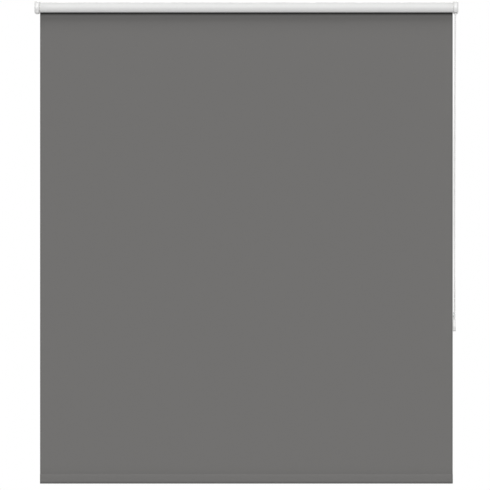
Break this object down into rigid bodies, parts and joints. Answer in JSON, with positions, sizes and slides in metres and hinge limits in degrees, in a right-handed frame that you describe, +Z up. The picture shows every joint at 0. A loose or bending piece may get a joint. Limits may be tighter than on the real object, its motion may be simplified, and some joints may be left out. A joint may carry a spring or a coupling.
{
  "type": "roller blind",
  "caption": "Chain-operated roller blind: grey blackout fabric on an aluminium roller between two covered wall brackets, with a weighted hem and a wall-fixed chain tensioner.",
  "frame": {"origin": "on the wall plane, midway between the two brackets and level with the roller's axis", "axes": "+X along the roller towards the chain side, +Y into the wall, +Z up; the blind faces -Y"},
  "size_m": [1.3, 0.0591, 1.4822],
  "materials": {
    "white_plastic": "satin white moulded plastic",
    "white_steel": "white powder-coated steel",
    "chain_plastic": "white moulded beads on a cord",
    "nylon": "off-white moulded nylon",
    "grey_fabric": "grey woven face of a coated blackout fabric",
    "white_backing": "white coated back of the same fabric",
    "aluminium": "mill-finish extruded aluminium",
    "zinc_steel": "zinc-plated steel",
    "spring_steel": "oil-tempered spring wire",
    "grey_plastic": "grey moulded plastic",
    "clear_plastic": "clear moulded plastic",
    "tape": "double-sided adhesive tape"
  },
  "bodies": {
    "frame": {"control_bracket": "white_steel", "control_bracket_cover": "white_plastic", "control_bracket_screw_upper": "zinc_steel", "control_bracket_screw_lower": "zinc_steel", "clutch_housing": "white_plastic", "clutch_post": "zinc_steel", "clutch_spring_inner": "spring_steel", "clutch_spring_outer": "spring_steel", "retaining_washer": "zinc_steel", "retaining_screw": "zinc_steel", "idle_bracket": "white_steel", "idle_bracket_cover": "white_plastic", "idle_bracket_screw_upper": "zinc_steel", "idle_bracket_screw_lower": "zinc_steel", "idle_bearing": "nylon", "fabric_drop": "grey_fabric", "bead_chain": "chain_plastic", "chain_over_sprocket": "chain_plastic", "tensioner_body": "white_plastic", "tensioner_cover": "white_plastic", "tensioner_axle": "zinc_steel", "tensioner_screw": "white_steel"},
    "roller": {"roller_tube": "aluminium", "fabric_tape": "tape", "fabric_roll": "white_backing", "drive_hub": "nylon", "idle_plug": "nylon", "idle_plug_cap": "nylon", "idle_spring": "spring_steel"},
    "sprocket": {"chain_sprocket": "nylon"},
    "bottom_rail": {"hem_pocket": "grey_fabric", "bottom_bar": "aluminium", "bottom_bar_cap_left": "grey_plastic", "bottom_bar_cap_right": "grey_plastic"},
    "locking_pin": {"idle_pin": "zinc_steel"},
    "connector": {"chain_connector": "clear_plastic"},
    "guide_wheel": {"tensioner_wheel": "nylon"}
  },
  "joints": [
    {"name": "roller_turn", "type": "hinge", "parent": "frame", "child": "roller", "pos_m": [0, -0.024, 0], "axis": [1, 0, 0], "range_deg": [0, 4500]},
    {"name": "sprocket_turn", "type": "hinge", "parent": "frame", "child": "sprocket", "pos_m": [0, -0.024, 0], "axis": [1, 0, 0], "range_deg": [0, 4500]},
    {"name": "hem_lift", "type": "slide", "parent": "frame", "child": "bottom_rail", "axis": [0, 0, 1], "range_m": [0, 1.4001], "deforming": ["fabric_drop"]},
    {"name": "connector_travel", "type": "slide", "parent": "frame", "child": "connector", "axis": [0.0031, 0, 1], "range_m": [0, 0.9002]},
    {"name": "guide_wheel_turn", "type": "hinge", "parent": "frame", "child": "guide_wheel", "pos_m": [0.6381, -0.024, -0.9783], "axis": [1, 0, 0], "range_deg": [0, 4500]},
    {"name": "pin_retract", "type": "slide", "parent": "roller", "child": "locking_pin", "axis": [1, 0, 0], "range_m": [0, 0.006], "stiffness_N_per_m": 500, "springref_m": -0.006, "deforming": ["idle_spring"]}
  ],
  "couplings": [
    {"joint": "sprocket_turn", "follows": "roller_turn", "ratio": 1},
    {"joint": "hem_lift", "follows": "roller_turn", "m_per_rad": 0.017825},
    {"joint": "connector_travel", "follows": "roller_turn", "m_per_rad": 0.011459},
    {"joint": "guide_wheel_turn", "follows": "roller_turn", "ratio": 1}
  ]
}
